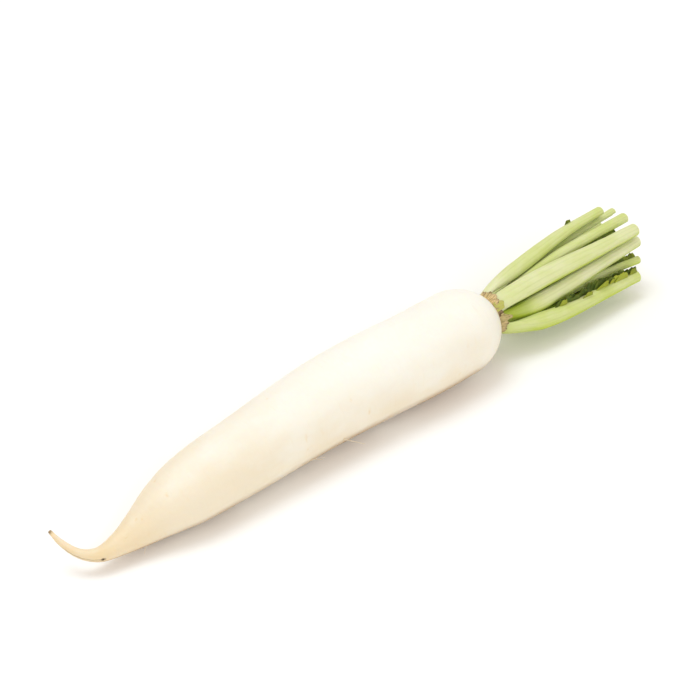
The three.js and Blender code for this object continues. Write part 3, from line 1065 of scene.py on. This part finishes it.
class Stalk:
    """One leaf stalk: its line, its sections and the way that its rounded back faces."""

    def __init__(self, number, route, sizes, greens):
        self.number = number
        self.line = Line(route)
        self.sizes = sizes
        self.foot, self.tint = greens
        self.scraps = SCRAPS.get(number, [])
        self.reach, end_y, end_z = route[-1]
        _, base_y, base_z = route[0]
        self.base_radius = math.hypot(base_y, base_z)
        end_facing = math.atan2(end_z, end_y)
        self.facing = math.atan2(base_z, base_y) if self.base_radius > 0 else end_facing
        self.turn = turn_between(self.facing, end_facing)
        self.middle_at = functools.cache(self.line.at_x)

    def section(self, x):
        """Width, thickness, wrap round the bunch and groove at a distance from the crown."""
        base, middle, cut = self.sizes
        grown = smoothstep(x, 0, FULL_SIZE_AT)
        thinned = smoothstep(x, FULL_SIZE_AT, self.reach)
        width, thickness = (mix(mix(base[k], middle[k], grown), cut[k], thinned) for k in (0, 1))
        wrap = 1 - smoothstep(x, 0, OPENED_AT)
        groove = GROOVE_DEPTH * smoothstep(x, OPENED_AT / 4, FULL_SIZE_AT)
        return width, thickness, wrap, groove

    def facing_at(self, x):
        """The angle that the rounded back faces, from +y towards +z."""
        return self.facing + self.turn * smoothstep(x, 0, FULL_SIZE_AT)

    def place(self, x, across, outward, wrap):
        """A place on a section, with the base wrapped round the middle of the bunch."""
        bend = max(wrap / self.base_radius, TINY) if self.base_radius > 0 else TINY
        rolled = (1 / bend + outward) * math.sin(bend * across)
        raised = (1 / bend + outward) * math.cos(bend * across) - 1 / bend
        facing = self.facing_at(x)
        middle = self.middle_at(x)
        y = middle.y + raised * math.cos(facing) - rolled * math.sin(facing)
        z = middle.z + raised * math.sin(facing) + rolled * math.cos(facing)
        return stalk_place(x, y, z)


def stalk_place(x, y, z):
    """A place in the stalks' frame, which starts just off the crown's disc."""
    centre, along, across, above = CROWN_FRAME
    return centre + along * (x + CROWN_TOP + FIT_GAP) + across * y + above * z


def stalk_mesh(stalk, settings):
    """A ribbed stalk with a groove on its inner side and a cut end."""
    bm = tube(STALK_SIDES, STALK_RINGS + CUT_RINGS, CUT_LOOPS)
    names = ("along", "rib", "tint", "inner", "core", "underside_shade")
    along, rib, tint, inner, core, underside_shade = float_layers(bm, *names)
    lane = bm.verts.layers.float_vector.new("lane")
    body_end = STALK_RINGS / (STALK_RINGS + CUT_RINGS)
    seed = 13.7 * stalk.number
    for face in bm.faces:
        face.material_index = 1 if min(v.co.z for v in face.verts) > 1 - TINY else 0
    for vertex in bm.verts:
        side, back, share = vertex.co
        spread = math.hypot(side, back)
        angle = math.atan2(side, back)
        ending = max(0.0, (share - body_end) / (1 - body_end))
        x = (stalk.reach - CUT_EDGE) * min(share / body_end, 1.0)
        x += CUT_EDGE * math.sin(ending * math.pi / 2)
        rounding = mix(CUT_ROUNDING, 1.0, math.sqrt(max(0.0, 1 - ending * ending)))
        width, thickness, wrap, groove = stalk.section(x)
        waver = 0.5 * noise.noise((x / 30, seed, 0))
        ribbing = 0.5 + 0.5 * math.cos(RIB_COUNT * (angle + 0.25 * waver))
        grown = smoothstep(x, 4, 22) * (1 - ending) * (spread > 0.99)
        swell = 1 + 0.03 * noise.noise((x / 14, seed, 5)) * smoothstep(x, 6, 30)
        inward = max(-back, 0.0)
        across = rounding * side * swell * width / 2
        outward = rounding * back * swell * (1 - groove * inward ** 3) * thickness / 2
        height = settings.rib_height / MM * (ribbing - 0.5) * grown * min(1.0, width / 9)
        across += height * math.sin(angle)
        outward += height * math.cos(angle)
        vertex[along] = x * MM
        vertex[rib] = mix(0.6, ribbing, grown)
        vertex[tint] = mix(stalk.foot, stalk.tint, smoothstep(x, 14, 50))
        # Painted shade: how far a place faces into the bunch, turned deep green in the finish
        vertex[inner] = smoothstep(inward, 0.2, 0.9)
        # Painted shade: how far a place faces down, turned greener in the finish
        vertex[underside_shade] = smoothstep(-math.sin(stalk.facing_at(x) + angle), -0.35, 0.75)
        vertex[core] = min(spread, 1.0)
        vertex[lane] = Vector((x + 40 * stalk.number, across, outward)) * MM
        if share > 1 - TINY:
            uneven = 0.6 + 0.4 * noise.noise((side * 2, back * 2, seed))
            x -= CUT_HOLLOW * (1 - spread * spread) * uneven
        vertex.co = stalk.place(x, across, outward, wrap)
    bmesh.ops.recalc_face_normals(bm, faces=bm.faces)
    return bm


def lobe(stalk, x, width, height, towards, curl, light, settings):
    """One ruffled lobe of torn leaf, standing out of a stalk and leaning to its cut end."""
    bm = plate(*LOBE_GRID)
    rise_layer, light_layer = float_layers(bm, "rise", "light")
    facing = math.radians(towards)
    thick = settings.thickness / MM
    for vertex in bm.verts:
        side, rise, depth = vertex.co.x * 2, vertex.co.y + 0.5, abs(vertex.co.z)
        tall = (SCRAP_SINK + height * (1 - 0.45 * side ** 4)) * rise
        torn = 0.25 * noise.noise((side * 2, x, towards)) + 0.09 * noise.noise((side * 8, x, 3))
        tall *= 1 + torn * rise
        at = x + side * width / 2 * (1 - 0.35 * rise ** 3) + 0.3 * tall
        at = min(max(at, 1.0), stalk.reach - 0.5)
        bend = curl * rise * rise
        leaf = 0.5 * math.sin(2.8 * side + x) * rise + (depth - 0.5) * thick * (1 - 0.4 * rise)
        _, stalk_thickness, _, _ = stalk.section(at)
        out = stalk_thickness / 2 - SCRAP_SINK + tall * math.cos(bend) - leaf * math.sin(bend)
        aside = tall * math.sin(bend) + leaf * math.cos(bend)
        middle = stalk.middle_at(round(at, 3))
        y = middle.y + math.cos(facing) * out - math.sin(facing) * aside
        z = middle.z + math.sin(facing) * out + math.cos(facing) * aside
        vertex[rise_layer] = rise
        vertex[light_layer] = light
        vertex.co = stalk_place(at, y, z)
    return bm


def scrap_mesh(stalk, settings):
    """All scraps of leaf on a stalk, each a row of overlapping lobes."""
    bm = bmesh.new()
    float_layers(bm, "rise", "light")
    for start, end, towards, height, light in stalk.scraps:
        chance = random.Random(start + towards)
        x = start
        while x < end - height:
            width = height * chance.uniform(*LOBE_PROPORTIONS)
            tall = height * chance.uniform(*LOBE_HEIGHTS)
            turned_to = towards + chance.uniform(-LOBE_TURN, LOBE_TURN)
            curl = chance.uniform(-LOBE_CURL, LOBE_CURL)
            shade = light + chance.uniform(-LOBE_SHADE, LOBE_SHADE)
            join(bm, lobe(stalk, x + width / 2, width, tall, turned_to, curl, shade, settings))
            x += width * LOBE_STEP
    return bm


def all_stalks():
    rows = zip(STALK_ROUTES, STALK_SIZES, STALK_GREENS)
    return [Stalk(number, *row) for number, row in enumerate(rows, 1)]


class DAIKON_OT_stalks(bpy.types.Operator):
    """Grow the bunch of trimmed leaf stalks"""

    bl_idname = "daikon.stalks"
    bl_label = "Leaf stalks"

    def execute(self, context):
        settings = context.scene.daikon_stalk
        finishes = [stalk_finish(settings), cut_finish(settings)]
        for stalk in all_stalks():
            node = f"stalk_{stalk.number}"
            mesh = stalk_mesh(stalk, settings)
            add_piece("leaf_" + node, mesh, finishes, [node])
        return {"FINISHED"}


class DAIKON_OT_scraps(bpy.types.Operator):
    """Grow the scraps of leaf that are left on the stalks"""

    bl_idname = "daikon.scraps"
    bl_label = "Leaf scraps"

    def execute(self, context):
        settings = context.scene.daikon_scrap
        finish = scrap_finish(settings)
        for stalk in all_stalks():
            if stalk.scraps:
                name = f"leaf_scraps_{stalk.number}"
                add_piece(name, scrap_mesh(stalk, settings), [finish])
        return {"FINISHED"}


class DAIKON_OT_stage(bpy.types.Operator):
    """Set the floor, the soft light and the camera"""

    bl_idname = "daikon.stage"
    bl_label = "Stage"

    def execute(self, context):
        settings = context.scene.daikon_stage
        scene = context.scene
        scene.view_settings.view_transform = "Standard"

        bm = bmesh.new()
        bmesh.ops.create_grid(bm, x_segments=1, y_segments=1, size=FLOOR_REACH)
        bmesh.ops.translate(bm, verts=bm.verts, vec=(0, 0, -FLOOR_DROP))
        mesh = finished_mesh("floor", bm)
        paper = Finish(
            "floor_paper", Base_Color=(*settings.floor, 1.0), Roughness=0.9, Specular_IOR_Level=0.1
        )
        mesh.materials.append(paper.material)
        new_object("floor", mesh)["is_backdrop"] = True

        world = bpy.data.worlds.new("studio")
        world.use_nodes = True
        sky = world.node_tree.nodes["Background"]
        sky.inputs["Color"].default_value = (*settings.sky, 1.0)
        sky.inputs["Strength"].default_value = settings.sky_strength
        scene.world = world

        soft_lamp("overhead", OVERHEAD_PLACE, settings.overhead_power, settings)
        soft_lamp("front", FRONT_PLACE, settings.front_power, settings)

        camera_data = bpy.data.cameras.new("camera")
        camera_data.lens = CAMERA_LENS
        camera_data.sensor_width = CAMERA_SENSOR
        camera = new_object("camera", camera_data)
        camera.location = CAMERA_PLACE
        aim(camera, CAMERA_TARGET)
        scene.camera = camera
        return {"FINISHED"}


def soft_lamp(name, place, power, settings):
    """A square lamp that looks at the radish."""
    data = bpy.data.lights.new(name, "AREA")
    data.shape = "SQUARE"
    data.size = settings.lamp_size
    data.color = settings.lamp
    data.energy = power
    lamp = new_object(name, data)
    lamp.location = place
    aim(lamp, LAMP_TARGET)


def aim(thing, target):
    """Turns a lamp or a camera to look at a point."""
    way = Vector(target) - thing.location
    thing.rotation_euler = way.to_track_quat("-Z", "Y").to_euler()


OPERATORS = [
    DAIKON_OT_taproot, DAIKON_OT_crown, DAIKON_OT_stalks, DAIKON_OT_scraps, DAIKON_OT_stage,
]

SETTINGS = {
    "daikon_root": DaikonRootSettings,
    "daikon_crown": DaikonCrownSettings,
    "daikon_stalk": DaikonStalkSettings,
    "daikon_scrap": DaikonScrapSettings,
    "daikon_stage": DaikonStageSettings,
}


class DAIKON_PT_panel(bpy.types.Panel):
    """The pieces of the radish and their sizes and colours"""

    bl_idname = "DAIKON_PT_panel"
    bl_label = "Daikon Radish"
    bl_space_type = "VIEW_3D"
    bl_region_type = "UI"
    bl_category = "Daikon"

    def draw(self, context):
        for operator in OPERATORS:
            self.layout.operator(operator.bl_idname)
        for name, group in SETTINGS.items():
            box = self.layout.box()
            for setting in group.__annotations__:
                box.prop(getattr(context.scene, name), setting)


def register():
    for kind in (*SETTINGS.values(), *OPERATORS, DAIKON_PT_panel):
        bpy.utils.register_class(kind)
    for name, group in SETTINGS.items():
        setattr(bpy.types.Scene, name, bpy.props.PointerProperty(type=group))


def unregister():
    for name in SETTINGS:
        delattr(bpy.types.Scene, name)
    for kind in (DAIKON_PT_panel, *reversed(OPERATORS), *reversed(SETTINGS.values())):
        bpy.utils.unregister_class(kind)


def main():
    register()
    bpy.ops.daikon.taproot()
    bpy.ops.daikon.crown()
    bpy.ops.daikon.stalks()
    bpy.ops.daikon.scraps()
    bpy.ops.daikon.stage()
    sizes = {"cad": CAD_BOX, "visual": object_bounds()}
    {name: [list(corner) for corner in box] for name, box in sizes.items()}


if __name__ == "__main__":
    main()
